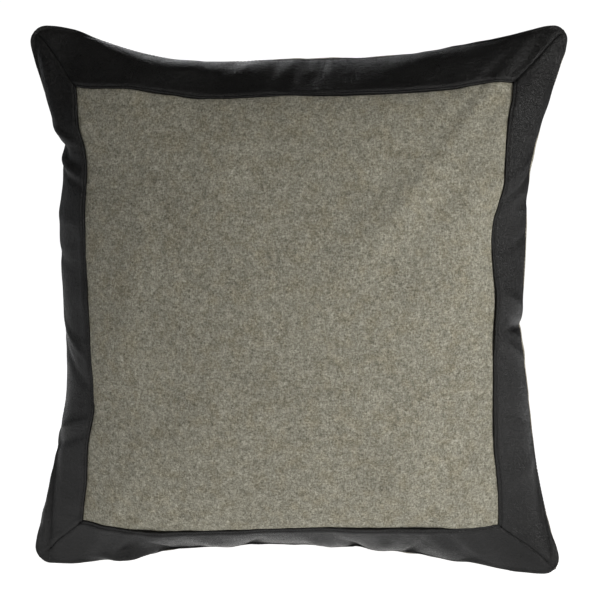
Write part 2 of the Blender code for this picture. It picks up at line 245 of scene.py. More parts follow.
def simulate(front, back, flat):
    """Blender's cloth: two squares as cut, sewn round the rim, whose rim is drawn in to
    the seam's own line while pressure fills them. Returns the two sides as they settle."""
    n = GRID
    rim = np.zeros((n, n), bool)
    rim[0], rim[-1], rim[:, 0], rim[:, -1] = True, True, True, True
    index_front = np.arange(n * n).reshape(n, n)
    index_back = index_front.copy()
    inner = np.argwhere(~rim)
    index_back[inner[:, 0], inner[:, 1]] = n * n + np.arange(len(inner))
    lift = np.zeros_like(flat)
    lift[..., 1] = 0.004 * (1 - (flat[..., 0] / HALF) ** 2).clip(0) * (
        1 - ((flat[..., 2] - 0.253) / HALF) ** 2
    ).clip(0)
    points = np.vstack(
        [(flat - lift).reshape(-1, 3), (flat + lift)[inner[:, 0], inner[:, 1]]]
    )
    sewn = np.vstack([front.reshape(-1, 3), back[inner[:, 0], inner[:, 1]]])
    faces = []
    for j in range(n - 1):
        for i in range(n - 1):
            q = ((j, i), (j, i + 1), (j + 1, i + 1), (j + 1, i))
            faces.append([index_front[k] for k in q])
            faces.append([index_back[k] for k in q[::-1]])
    mesh = bpy.data.meshes.new("cloth_work")
    mesh.from_pydata(points.tolist(), [], faces)
    obj = bpy.data.objects.new("cloth_work", mesh)
    bpy.context.scene.collection.objects.link(obj)
    obj.shape_key_add(name="Basis")
    key = obj.shape_key_add(name="Sewn")
    key.data.foreach_set("co", sewn.astype(np.float32).ravel())
    for frame_number, value in ((1, 0.0), (DRAW_FRAMES, 1.0)):
        key.value = value
        key.keyframe_insert("value", frame=frame_number)
    held = obj.vertex_groups.new(name="held")
    held.add([int(k) for k in index_front[rim]], 1.0, "REPLACE")
    cloth = obj.modifiers.new("Cloth", "CLOTH")
    s = cloth.settings
    s.quality = 6
    s.mass = 0.0006
    s.air_damping = 4.0
    s.tension_stiffness = s.compression_stiffness = 150
    s.shear_stiffness = 8
    s.bending_stiffness = 0.4
    s.tension_damping = s.compression_damping = s.shear_damping = 10
    s.use_pressure = True
    s.uniform_pressure_force = 250.0
    s.vertex_group_mass = "held"
    s.effector_weights.gravity = 0.0
    cloth.collision_settings.use_collision = False
    cloth.point_cache.frame_start, cloth.point_cache.frame_end = 1, SIM_FRAMES
    scene = bpy.context.scene
    for f in range(1, SIM_FRAMES + 1):
        scene.frame_set(f)
    graph = bpy.context.evaluated_depsgraph_get()
    done = obj.evaluated_get(graph)
    settled = np.empty(len(points) * 3, np.float32)
    done.data.vertices.foreach_get("co", settled)
    settled = settled.reshape(-1, 3).astype(float)
    scene.frame_set(1)
    bpy.data.objects.remove(obj, do_unlink=True)
    bpy.data.meshes.remove(mesh)
    return settled[index_front], settled[index_back]


# ------------------------------------------------------------------ settled surface
def relax(points, times, amount):
    """Smooths the grid's inside a little, leaving its rim."""
    p = points.copy()
    for _ in range(times):
        mean = (p[:-2, 1:-1] + p[2:, 1:-1] + p[1:-1, :-2] + p[1:-1, 2:]) / 4
        p[1:-1, 1:-1] += amount * (mean - p[1:-1, 1:-1])
    return p


def soft_cap(value, start, room):
    """Leaves value below start and lets it pass start by room at most."""
    over = np.maximum(value - start, 0)
    return np.where(value > start, start + room * (1 - np.exp(-over / room)), value)


class Side:
    """One side of the cover as a smooth surface over the cut's square."""

    def __init__(self, points, side):
        self.side = side
        n = points.shape[0]
        p = np.empty((n + 4, n + 4, 3))
        p[2:-2, 2:-2] = points
        p[1, 2:-2], p[-2, 2:-2] = 2 * p[2, 2:-2] - p[3, 2:-2], 2 * p[-3, 2:-2] - p[-4, 2:-2]
        p[0], p[-1] = p[1], p[-2]
        p[:, 1], p[:, -2] = 2 * p[:, 2] - p[:, 3], 2 * p[:, -3] - p[:, -4]
        p[:, 0], p[:, -1] = p[:, 1], p[:, -2]
        self.p, self.n = p, n

    def point(self, u, v):
        u, v = np.broadcast_arrays(np.asarray(u, float), np.asarray(v, float))
        a = (np.clip(u, -1, 1) + 1) / 2 * (self.n - 1)
        b = (np.clip(v, -1, 1) + 1) / 2 * (self.n - 1)
        i, j = np.minimum(a.astype(int), self.n - 2), np.minimum(b.astype(int), self.n - 2)
        s, t = a - i, b - j

        def weights(s):
            return (
                -0.5 * s + s**2 - 0.5 * s**3,
                1 - 2.5 * s**2 + 1.5 * s**3,
                0.5 * s + 2 * s**2 - 1.5 * s**3,
                -0.5 * s**2 + 0.5 * s**3,
            )

        ws, wt = weights(s), weights(t)
        found = 0
        for m in range(4):
            row = 0
            for k in range(4):
                row = row + ws[k][..., None] * self.p[j + m + 1, i + k + 1]
            found = found + wt[m][..., None] * row
        return found

    def normal(self, u, v, step=0.006):
        u, v = np.broadcast_arrays(np.asarray(u, float), np.asarray(v, float))
        u0, u1 = np.clip(u - step, -1, 1), np.clip(u + step, -1, 1)
        v0, v1 = np.clip(v - step, -1, 1), np.clip(v + step, -1, 1)
        du = self.point(u1, v) - self.point(u0, v)
        dv = self.point(u, v1) - self.point(u, v0)
        n = np.cross(du, dv) * -self.side
        length = np.linalg.norm(n, axis=-1, keepdims=True)
        flat = np.zeros_like(n)
        flat[..., 1] = self.side
        return np.where(length > 1e-10, n / np.maximum(length, 1e-10), flat)


# Where the wool panel's seam lies: x of its two sides by height, z of its top and
# bottom by place across.
seam_left = curve([
    (0.040, -0.2005), (0.057, -0.1985), (0.087, -0.1940), (0.116, -0.1918), (0.135, -0.1883),
    (0.154, -0.1843), (0.182, -0.1846), (0.200, -0.1859), (0.237, -0.1873), (0.255, -0.1880),
    (0.301, -0.1894), (0.338, -0.1900), (0.374, -0.1889), (0.392, -0.1909), (0.419, -0.1980),
    (0.438, -0.1993), (0.455, -0.2015),
])
seam_right = curve([
    (0.040, 0.1878), (0.052, 0.1883), (0.072, 0.1878), (0.101, 0.1855), (0.120, 0.1833),
    (0.148, 0.1820), (0.176, 0.1814), (0.203, 0.1812), (0.231, 0.1820), (0.258, 0.1835),
    (0.276, 0.1815), (0.294, 0.1796), (0.312, 0.1785), (0.330, 0.1802), (0.338, 0.1828),
    (0.347, 0.1854), (0.356, 0.1880), (0.365, 0.1897), (0.383, 0.1905), (0.401, 0.1914),
    (0.428, 0.1940), (0.437, 0.1960), (0.453, 0.1975),
])
seam_top = curve([
    (-0.2, 0.4500), (-0.187, 0.4485), (-0.152, 0.4480), (-0.130, 0.4450), (-0.107, 0.4420),
    (-0.085, 0.4390), (-0.063, 0.4387), (-0.031, 0.4400), (-0.009, 0.4408), (0.023, 0.4410),
    (0.055, 0.4420), (0.087, 0.4430), (0.115, 0.4446), (0.141, 0.4468), (0.162, 0.4505),
    (0.184, 0.4535), (0.195, 0.4530),
])
seam_bottom = curve([
    (-0.2, 0.0460), (-0.191, 0.0446), (-0.179, 0.0426), (-0.156, 0.0405), (-0.121, 0.0395),
    (-0.099, 0.0410), (-0.076, 0.0427), (-0.054, 0.0440), (-0.031, 0.0455), (0.0, 0.0468),
    (0.034, 0.0475), (0.056, 0.0470), (0.090, 0.0470), (0.122, 0.0468), (0.155, 0.0463),
    (0.177, 0.0472), (0.188, 0.0480),
])


def settle(front, back):
    """Takes the cloth as it settled to the cover's own crown, outline and seams."""
    n = front.shape[0]
    t = np.linspace(-1, 1, n)
    u, v = np.meshgrid(t, t)
    ru, rv = rounded(u, v)
    front, back = relax(front, 2, 0.5), relax(back, 2, 0.5)
    front[..., 1] *= CROWN_FRONT / -front[..., 1].min()
    back[..., 1] *= CROWN_BACK / back[..., 1].max()
    back[..., 1] = soft_cap(back[..., 1], 0.0785, BACK_FLAT - 0.0785)

    def within(value, limit, rim):
        """Turns the belly round before its outline, and leaves the seam itself there."""
        wide = soft_cap(value, limit - 0.005, 0.0078)
        return wide + (soft_cap(value, limit - 0.001, 0.0022) - wide) * rim

    rim_x, rim_z = smooth(0.90, 1.0, np.abs(u)), smooth(0.90, 1.0, np.abs(v))
    for p in (front, back):
        # the cloth may belly past its seam by a little only
        p[..., 0] = within(p[..., 0], right_x(rv), rim_x)
        p[..., 0] = -within(-p[..., 0], -left_x(rv), rim_x)
        p[..., 2] = within(p[..., 2], top_z(ru), rim_z)
        p[..., 2] = -within(-p[..., 2], -bottom_z(ru), rim_z)
        p[..., 2] = np.maximum(p[..., 2], 0.0)

    def near(s):
        s = np.abs(s)
        return np.where(s < EDGE, smooth(0.2, EDGE, s), 1 - smooth(EDGE, 1.0, s))

    held = 1 - smooth(EDGE, 1.0, np.abs(v))
    across = 1 - smooth(EDGE, 1.0, np.abs(u))
    for _ in range(3):  # each pass moves the seams nearer their own lines
        side = Side(front, -1)
        line = np.clip(t, -EDGE, EDGE)
        left, right = side.point(-EDGE + 0 * line, line), side.point(EDGE + 0 * line, line)
        top, bottom = side.point(line, EDGE + 0 * line), side.point(line, -EDGE + 0 * line)
        dx_left = (seam_left(left[:, 2]) - left[:, 0])[:, None]
        dx_right = (seam_right(right[:, 2]) - right[:, 0])[:, None]
        dz_top = (seam_top(top[:, 0]) - top[:, 2])[None, :]
        dz_bottom = (seam_bottom(bottom[:, 0]) - bottom[:, 2])[None, :]
        share = (u + EDGE) / (2 * EDGE)
        front[..., 0] += near(u) * held * np.where(u < 0, dx_left, dx_right)
        front[..., 2] += near(v) * across * np.where(v < 0, dz_bottom, dz_top)
    for p in (front, back):  # this bottom corner curls a little to the front
        p[..., 1] -= 0.012 * smooth(0.182, 0.250, p[..., 0]) * smooth(0.075, 0.0, p[..., 2])
    return front, back


# ------------------------------------------------------------------ surface detail
def tell(u, v):
    """For a place on the border: its side (0 top, 1 right, 2 bottom, 3 left), the
    place t along it and r out from the middle."""
    up = np.abs(v) >= np.abs(u)
    which = np.where(up, np.where(v > 0, 0, 2), np.where(u > 0, 1, 3))
    return which, np.where(up, u, v), np.where(up, np.abs(v), np.abs(u))


# side, place along, place out, width, depth, slant
CREASES = (
    (3, 0.56, 0.92, 0.022, -0.0022, 0.55), (3, 0.50, 0.90, 0.020, 0.0012, 0.55),
    (3, 0.62, 0.90, 0.020, 0.0012, 0.50), (3, 0.46, 0.88, 0.016, -0.0008, 0.6),
    (3, -0.20, 0.90, 0.030, -0.0012, 1.2), (3, -0.12, 0.89, 0.022, 0.0009, 1.2),
    (3, -0.52, 0.91, 0.020, -0.0014, -0.5), (3, -0.46, 0.90, 0.018, 0.0010, -0.5),
    (3, 0.16, 0.93, 0.025, -0.0008, 0.4), (3, 0.30, 0.90, 0.030, 0.0007, 0.3),
    (1, 0.42, 0.88, 0.020, -0.0014, 0.7), (1, 0.49, 0.88, 0.020, 0.0010, 0.7),
    (1, -0.07, 0.90, 0.026, -0.0018, -0.4), (1, 0.01, 0.89, 0.022, 0.0011, -0.4),
    (1, -0.16, 0.89, 0.022, 0.0010, -0.6), (1, 0.22, 0.90, 0.022, -0.0007, 0.5),
    (1, -0.42, 0.92, 0.030, -0.0007, -0.6), (1, -0.60, 0.90, 0.030, 0.0007, 0.4),
    (2, -0.50, 0.95, 0.030, -0.0016, 0.6), (2, -0.28, 0.93, 0.060, 0.0014, 0.3),
    (2, -0.14, 0.94, 0.025, -0.0012, -0.3), (2, 0.10, 0.93, 0.055, 0.0013, 0.4),
    (2, 0.22, 0.95, 0.022, -0.0013, 0.5), (2, 0.33, 0.94, 0.045, 0.0012, -0.4),
    (2, 0.45, 0.95, 0.022, -0.0012, -0.5), (2, 0.57, 0.94, 0.040, 0.0010, 0.3),
    (2, -0.66, 0.93, 0.035, 0.0009, -0.4), (0, -0.42, 0.91, 0.090, 0.0010, 0.8),
    (0, -0.24, 0.93, 0.035, -0.0007, 0.5), (0, 0.05, 0.92, 0.040, -0.0006, -0.4),
    (0, 0.34, 0.92, 0.040, -0.0007, -0.5), (0, 0.62, 0.90, 0.050, 0.0007, -0.6),
)


def leather_lift(u, v, which, t, r):
    """How far the leather stands over the settled surface, in metres."""
    d = (r - EDGE) * HALF  # from the panel's seam
    w = (1 - r) * HALF  # from the outer seam
    e = (r - np.abs(t)) * HALF / math.sqrt(2)  # from the mitre
    way = t * HALF
    lift = 0.0010 * (1 - smooth(0.0040, 0.0210, d))
    lift = lift - 0.0010 * (1 - np.sqrt(1 - (1 - np.clip(d / 0.0011, 0, 1)) ** 2))
    lift = lift - 0.0006 * bump(d, 0.0024, 0.0006) + 0.0004 * bump(d, 0.0050, 0.0022)
    lift = lift - 0.0007 * bump(e, 0.0, 0.0008) + 0.0003 * bump(e, 0.0034, 0.0022)
    # the belly that hides the zip's pull
    hides = bump(t, -0.625, 0.085) * bump(w, 0.0060, 0.0050)
    lift = lift + np.where(which == 2, 0.0085 * hides, 0)
    lift = lift - 0.0014 * (1 - np.sqrt(1 - (1 - np.clip(w / 0.0016, 0, 1)) ** 2))
    lift = lift - 0.0004 * bump(w, 0.0042, 0.0016)
    for k in range(4):
        here = which == k
        near_seam = np.exp(-d / 0.010)
        near_rim = np.exp(-w / 0.013)
        strong = (0.7, 0.9, 1.5, 1.0)[k]
        wave = (
            0.00030 * noise1(way / 0.0075 + 11 * k, 70 + k) * near_seam
            + 0.00055 * strong * noise1(way / 0.012 + 17 * k, 80 + k) * near_rim
            + 0.00040 * strong * noise1(way / 0.027 + 5 * k, 90 + k)
        )
        lift = lift + np.where(here, wave, 0)
    lift = lift + 0.00055 * noise2(u * HALF / 0.034 + 40, v * HALF / 0.034 + 40, 31)
    lift = lift + 0.00018 * noise2(u * HALF / 0.011 + 40, v * HALF / 0.011 + 40, 32)
    for side, place, out, width, depth, slant in CREASES:
        reach = np.exp(-(((r - out) / 0.075) ** 2))
        line = (t - place - slant * (r - out)) / width
        depth = depth * (1.4, 1.3, 2.2, 1.6)[side]
        lift = lift + np.where(which == side, depth * np.exp(-(line**2)) * reach, 0)
    return lift


# x, z, direction, length, width, height of the soft folds in the panel
WOOL_FOLDS = (
    (0.42, 0.38, 0.90, 0.30, 0.055, 0.0026), (0.52, 0.30, 0.95, 0.26, 0.060, -0.0018),
    (0.30, 0.44, 0.85, 0.22, 0.060, -0.0015), (0.56, -0.02, 2.5, 0.22, 0.050, 0.0014),
    (-0.50, 0.40, 2.30, 0.24, 0.060, -0.0016), (-0.60, 0.05, 1.35, 0.34, 0.055, 0.0012),
    (-0.46, -0.48, 0.75, 0.26, 0.060, 0.0012), (0.40, -0.50, 2.40, 0.28, 0.065, 0.0010),
)


def wool_lift(u, v):
    """The same for the wool panel: it sinks into its seam, and lies a little uneven."""
    m = (EDGE - np.maximum(np.abs(u), np.abs(v))) * HALF
    lift = -0.0011 * np.exp(-m / 0.0022)
    lift = lift + 0.00022 * noise1((u + v) * HALF / 0.0062 + 50, 41) * np.exp(-m / 0.009)
    lift = lift + 0.00030 * noise1((u - v) * HALF / 0.013 + 50, 42) * np.exp(-m / 0.020)
    lift = lift + 0.0016 * noise2(u * HALF / 0.060 + 9, v * HALF / 0.070 + 9, 43)
    for x, z, turn, long, wide, depth in WOOL_FOLDS:
        along = (u - x) * math.cos(turn) + (v - z) * math.sin(turn)
        off = -(u - x) * math.sin(turn) + (v - z) * math.cos(turn)
        lift = lift + depth * bump(along, 0, long) * bump(off, 0, wide)
    lift = lift + 0.00035 * noise2(u * HALF / 0.021 + 9, v * HALF / 0.021 + 9, 44)
    return lift


def back_lift(u, v):
    r = np.maximum(np.abs(u), np.abs(v))
    w = (1 - r) * HALF
    which, t, _ = tell(u, v)
    lift = -0.0016 * (1 - np.sqrt(1 - (1 - np.clip(w / 0.0018, 0, 1)) ** 2))
    lift = lift - 0.0004 * bump(w, 0.0050, 0.0020)
    for k in range(4):
        wave = 0.0006 * noise1(t * HALF / 0.012 + 17 * k, 80 + k) * np.exp(-w / 0.014)
        wave = wave + 0.0007 * noise1(t * HALF / 0.029 + 3 * k, 95 + k) * np.exp(-w / 0.045)
        lift = lift + np.where(which == k, wave, 0)
    lift = lift + 0.0011 * noise2(u * HALF / 0.065 + 30, v * HALF / 0.060 + 30, 51)
    lift = lift + 0.00035 * noise2(u * HALF / 0.022 + 30, v * HALF / 0.022 + 30, 52)
    return lift


def lip(x, z):
    """Half of the gap between front and back. Along the zip it is a slot for the post
    of the pull, then room over it for the slider, and over that for the tapes."""
    along = np.clip((ZIP_HALF + 0.012 - np.abs(x)) / 0.010, 0, 1)
    up = np.hypot(x, z - (ARCH_TOP - ZIP_R)) - ZIP_R
    room = 0.0012 + 0.0025 * smooth(0.0008, 0.0022, up)
    room = room - 0.0014 * smooth(0.0100, 0.0130, up) - 0.0020 * smooth(0.0185, 0.0240, up)
    return 0.00030 + (room - 0.00030) * along


def apart(points, side, deeper=0.0):
    """Keeps a side's points on their own side of the seam plane, and over the floor."""
    p = points.copy()
    curl = 0.012 * smooth(0.182, 0.250, p[..., 0]) * smooth(0.075, 0.0, p[..., 2])
    least = lip(p[..., 0], p[..., 2]) + 0.25 * deeper - side * curl
    p[..., 1] = side * np.maximum(side * p[..., 1], least)
    p[..., 2] = np.maximum(p[..., 2], 0.0003 + deeper)
    return p


# ------------------------------------------------------------------ meshes
def new_mesh(name, points, faces, finish, smooth_angle=None):
    mesh = bpy.data.meshes.new(name)
    mesh.from_pydata(np.asarray(points, float).tolist(), [], [tuple(map(int, f)) for f in faces])
    mesh.update()
    mesh.shade_smooth()
    if smooth_angle:
        mesh.set_sharp_from_angle(angle=math.radians(smooth_angle))
    mesh.materials.append(finish)
    obj = bpy.data.objects.new(name, mesh)
    bpy.context.scene.collection.objects.link(obj)
    return obj


def skin(name, outer, inner, finish):
    """A closed sheet between two grids of points, outer facing out."""
    rows, cols = outer.shape[:2]
    points = np.concatenate([outer.reshape(-1, 3), inner.reshape(-1, 3)])
    at = np.arange(rows * cols).reshape(rows, cols)
    a, b, c, d = at[:-1, :-1], at[:-1, 1:], at[1:, 1:], at[1:, :-1]
    top = np.stack([a, b, c, d], -1).reshape(-1, 4)
    low = np.stack([a, d, c, b], -1).reshape(-1, 4) + rows * cols
    rim = np.concatenate([at[0, :], at[1:, -1], at[-1, -2::-1], at[-2:0:-1, 0]])
    nxt = np.roll(rim, -1)
    wall = np.stack([nxt, rim, rim + rows * cols, nxt + rows * cols], -1)
    faces = np.concatenate([top, low, wall])
    tri = points[faces]
    volume = np.einsum(
        "ij,ij->", tri[:, 0], np.cross(tri[:, 1], tri[:, 2]) + np.cross(tri[:, 2], tri[:, 3])
    )
    if volume < 0:
        faces = faces[:, ::-1]
    return new_mesh(name, points, faces, finish, 55)


def beads(name, centres, along, up, length, width, height, finish, sink=0.35):
    """A row of stitches: short rounded threads that dive into the cloth at both ends."""
    rings, around = 7, 7
    s = np.linspace(-1, 1, rings)
    body = np.sqrt(np.maximum(1 - np.abs(s) ** 3.2, 0.03))
    dive = -sink * height * s**4
    angle = np.arange(around) * 2 * math.pi / around
    side = np.cross(along, up)
    points, faces = [], []
    pattern = []
    for k in range(rings):
        for a in angle:
            pattern.append(
                (s[k] * length / 2, math.cos(a) * body[k] * width / 2, math.sin(a) * body[k] * height / 2 + dive[k])
            )
    pattern = np.array(pattern)
    for c, x, y, z in zip(centres, along, side, up):
        base = len(points) * len(pattern)
        points.append(c + pattern[:, :1] * x + pattern[:, 1:2] * y + pattern[:, 2:] * z)
        for k in range(rings - 1):
            for i in range(around):
                m = (i + 1) % around
                faces.append((base + k * around + i, base + (k + 1) * around + i, base + (k + 1) * around + m, base + k * around + m))
        faces.append(tuple(base + i for i in range(around)))
        faces.append(tuple(base + (rings - 1) * around + i for i in range(around - 1, -1, -1)))
    return new_mesh(name, np.concatenate(points), faces, finish, 60)


def unit(a):
    return a / np.maximum(np.linalg.norm(a, axis=-1, keepdims=True), 1e-12)


def along_path(points, pitch, start=0.0):
    """Evenly spaced centres and directions along a row of points."""
    way = np.concatenate([[0], np.cumsum(np.linalg.norm(np.diff(points, axis=0), axis=1))])
    count = int((way[-1] - 2 * start) / pitch)
    at = np.linspace(start + pitch / 2, way[-1] - start - pitch / 2, max(count, 2))
    centre = np.stack([np.interp(at, way, points[:, k]) for k in range(3)], -1)
    ahead = np.stack([np.interp(at + 0.0006, way, points[:, k]) for k in range(3)], -1)
    behind = np.stack([np.interp(at - 0.0006, way, points[:, k]) for k in range(3)], -1)
    return at / way[-1], centre, unit(ahead - behind)


# ------------------------------------------------------------------ materials
def finish(name, build):
    made = bpy.data.materials.new(name)
    made.use_nodes = True
    tree = made.node_tree
    shader = tree.nodes["Principled BSDF"]
    coords = tree.nodes.new("ShaderNodeTexCoord").outputs["Object"]
    build(tree, shader, coords)
    return made


def node(tree, kind, inputs=None, **settings):
    made = tree.nodes.new(kind)
    for key, value in settings.items():
        setattr(made, key, value)
    for key, value in (inputs or {}).items():
        if isinstance(value, bpy.types.NodeSocket):
            tree.links.new(value, made.inputs[key])
        else:
            made.inputs[key].default_value = value
    return made


def noise(tree, coords, scale, detail=2.0, rough=0.5, stretch=None):
    if stretch:
        coords = node(tree, "ShaderNodeMapping", {"Vector": coords, "Scale": stretch}).outputs[0]
    return node(
        tree, "ShaderNodeTexNoise",
        {"Vector": coords, "Scale": scale, "Detail": detail, "Roughness": rough},
    ).outputs["Fac"]


def ramp(tree, value, *stops):
    made = node(tree, "ShaderNodeValToRGB", {"Fac": value})
    elements = made.color_ramp.elements
    while len(elements) < len(stops):
        elements.new(0.5)
    for element, (place, colour) in zip(elements, stops):
        element.position = place
        element.color = (*colour, 1.0) if len(colour) == 3 else colour
    return made.outputs["Color"]


def grey(tree, value, low, high, start=0.0, end=1.0):
    return node(
        tree, "ShaderNodeMapRange",
        {"Value": value, "From Min": start, "From Max": end, "To Min": low, "To Max": high},
    ).outputs["Result"]


def math_node(tree, how, a, b=None):
    made = tree.nodes.new("ShaderNodeMath")
    made.operation = how
    for k, value in enumerate((a, b)):
        if value is None:
            continue
        if isinstance(value, bpy.types.NodeSocket):
            tree.links.new(value, made.inputs[k])
        else:
            made.inputs[k].default_value = value
    return made.outputs[0]


def mix(tree, kind, factor, a, b):
    made = tree.nodes.new("ShaderNodeMix")
    made.data_type = "RGBA"
    made.blend_type = kind
    for key, value in ((0, factor), (6, a), (7, b)):
        if isinstance(value, bpy.types.NodeSocket):
            tree.links.new(value, made.inputs[key])
        elif key == 0:
            made.inputs[key].default_value = value
        else:
            made.inputs[key].default_value = (*value, 1.0)
    return made.outputs[2]


def bump_node(tree, height, distance, strength=1.0, normal=None):
    inputs = {"Height": height, "Distance": distance, "Strength": strength}
    if normal:
        inputs["Normal"] = normal
    return node(tree, "ShaderNodeBump", inputs).outputs["Normal"]


def wool(dark, middle, light, brown, contrast=1.0):
    """Brushed melange wool: fine pale and dark fibres felted together over a faint
    twill, with warm patches."""

    def build(tree, shader, coords):
        grain = noise(tree, coords, 620, 4, 0.68)
        short = noise(tree, coords, 330, 3, 0.6, (1.0, 1.0, 2.1))
        long = noise(tree, coords, 330, 3, 0.6, (2.3, 1.0, 1.0))
        fine = noise(tree, coords, 1700, 3, 0.7, (1.6, 1.0, 1.0))
        grain = math_node(tree, "ADD", math_node(tree, "MULTIPLY", grain, 0.72), math_node(tree, "MULTIPLY", fine, 0.28))
        fibres = math_node(tree, "ADD", math_node(tree, "MULTIPLY", grain, 0.5),
                           math_node(tree, "MULTIPLY", math_node(tree, "ADD", short, long), 0.25))
        half = 0.118 / contrast
        base = ramp(tree, fibres, (0.5 - half, dark), (0.5, middle), (0.5 + half, light))
        patches = grey(tree, noise(tree, coords, 75, 3, 0.6), 0.0, 0.42, 0.46, 0.66)
        base = mix(tree, "MIX", patches, base, mix(tree, "MULTIPLY", 1.0, base, brown))
        flecks = node(
            tree, "ShaderNodeTexVoronoi", {"Vector": coords, "Scale": 410.0, "Randomness": 1.0}
        )
        spot = grey(tree, flecks.outputs["Distance"], 1.0, 0.0, 0.10, 0.34)
        rare = math_node(tree, "GREATER_THAN", noise(tree, coords, 260, 1, 0.5), 0.57)
        base = mix(tree, "MIX", math_node(tree, "MULTIPLY", math_node(tree, "MULTIPLY", spot, rare), 0.55), base, dark)
        wide = math_node(
            tree, "MULTIPLY", grey(tree, noise(tree, coords, 14, 2, 0.5), 0.95, 1.05, 0.3, 0.7),
            grey(tree, noise(tree, coords, 165, 2, 0.5), 0.84, 1.16, 0.3, 0.7),
        )
        tone = node(tree, "ShaderNodeHueSaturation", {"Value": wide, "Color": base})
        tree.links.new(tone.outputs["Color"], shader.inputs["Base Color"])
        wave = node(
            tree, "ShaderNodeTexWave",
            {"Vector": node(tree, "ShaderNodeMapping", {"Vector": coords, "Rotation": (0, 0.9, 0)}).outputs[0],
             "Scale": 130.0, "Distortion": 2.5, "Detail": 2.0, "Detail Scale": 2.0},
        ).outputs["Fac"]
        height = math_node(tree, "ADD", math_node(tree, "MULTIPLY", fibres, 1.0), math_node(tree, "MULTIPLY", wave, 0.12))
        tree.links.new(bump_node(tree, height, 0.0011, 0.75), shader.inputs["Normal"])
        tree.links.new(grey(tree, grain, 0.88, 1.0, 0.3, 0.7), shader.inputs["Roughness"])
        shader.inputs["Sheen Weight"].default_value = 0.08
        shader.inputs["Sheen Roughness"].default_value = 0.55
        shader.inputs["Sheen Tint"].default_value = (0.95, 0.93, 0.88, 1.0)
        shader.inputs["Specular IOR Level"].default_value = 0.12

    return build


def leather(tree, shader, coords):
    """Black hide: pebbled grain with fine pores, a dull sheen, paler on the pebbles' tops and darker in the cracks
    between them.
    """
    warp = node(tree, "ShaderNodeTexNoise", {"Vector": coords, "Scale": 260.0, "Detail": 2.0}).outputs["Color"]
    bent = node(tree, "ShaderNodeMix", {}, data_type="VECTOR")
    bent.inputs[0].default_value = 0.0016
    tree.links.new(coords, bent.inputs[4])
    tree.links.new(warp, bent.inputs[5])
    cells = node(
        tree, "ShaderNodeTexVoronoi", {"Vector": bent.outputs[1], "Scale": 880.0},
        feature="DISTANCE_TO_EDGE",
    ).outputs["Distance"]
    pebbles = grey(tree, cells, 0.0, 1.0, 0.0, 0.28)
    small = node(
        tree, "ShaderNodeTexVoronoi", {"Vector": coords, "Scale": 1500.0}, feature="F1"
    ).outputs["Distance"]
    pores = noise(tree, coords, 2600, 2, 0.6)
    height = math_node(tree, "ADD", pebbles, math_node(tree, "MULTIPLY", small, 0.35))
    height = math_node(tree, "ADD", height, math_node(tree, "MULTIPLY", pores, 0.25))
    height = math_node(tree, "ADD", height, math_node(tree, "MULTIPLY", noise(tree, coords, 420, 3, 0.6), 2.6))
    soft = noise(tree, coords, 55, 3, 0.55)
    colour = ramp(tree, soft, (0.30, (0.0062, 0.0061, 0.0062)), (0.70, (0.0102, 0.0099, 0.0097)))
    # the colour goes darker towards the cracks between the pebbles, where their height is least
    colour = mix(tree, "MIX", math_node(tree, "MULTIPLY", pebbles, 0.5), (0.0028, 0.0027, 0.0027), colour)
    tree.links.new(colour, shader.inputs["Base Color"])
    rough = math_node(tree, "ADD", grey(tree, soft, 0.23, 0.31, 0.3, 0.7), grey(tree, pebbles, 0.26, 0.0))
    tree.links.new(rough, shader.inputs["Roughness"])
    wrinkles = noise(tree, coords, 120, 4, 0.6, (1.0, 1.0, 2.4))
    first = bump_node(tree, wrinkles, 0.0014, 0.45)
    tree.links.new(bump_node(tree, height, 0.00019, 1.0, first), shader.inputs["Normal"])
    shader.inputs["Specular IOR Level"].default_value = 0.32


def twisted(rgb, paler):
    def build(tree, shader, coords):
        strands = node(
            tree, "ShaderNodeTexWave",
            {"Vector": coords, "Scale": 900.0, "Distortion": 1.5, "Detail": 1.0},
            bands_direction="DIAGONAL",
        ).outputs["Fac"]
        tree.links.new(ramp(tree, strands, (0.2, rgb), (0.9, paler)), shader.inputs["Base Color"])
        tree.links.new(bump_node(tree, strands, 0.00012, 0.8), shader.inputs["Normal"])
        tree.links.new(grey(tree, strands, 0.62, 0.5), shader.inputs["Roughness"])

    return build


def plain_weave(low, high, scale, rough=0.85, depth=0.00015, sheen=0.0):
    """Cloth of crossed threads, scale threads to the metre / 6."""

    def build(tree, shader, coords):
        bands = []
        for rotation in ((0, 0, 0), (0, math.pi / 2, 0)):
            turned = node(tree, "ShaderNodeMapping", {"Vector": coords, "Rotation": rotation}).outputs[0]
            bands.append(
                node(
                    tree, "ShaderNodeTexWave",
                    {"Vector": turned, "Scale": scale, "Distortion": 0.8, "Detail": 1.0},
                    bands_direction="X",
                ).outputs["Fac"]
            )
        both = math_node(tree, "MULTIPLY", *bands)
        slub = noise(tree, coords, 140, 3, 0.6)
        base = ramp(tree, both, (0.0, low), (0.7, high))
        base = mix(tree, "MULTIPLY", grey(tree, slub, 0.0, 0.35, 0.35, 0.7), base, low)
        tree.links.new(base, shader.inputs["Base Color"])
        tree.links.new(bump_node(tree, both, depth, 0.9), shader.inputs["Normal"])
        tree.links.new(grey(tree, slub, rough - 0.05, rough + 0.05, 0.3, 0.7), shader.inputs["Roughness"])
        shader.inputs["Sheen Weight"].default_value = sheen
        shader.inputs["Specular IOR Level"].default_value = 0.2

    return build


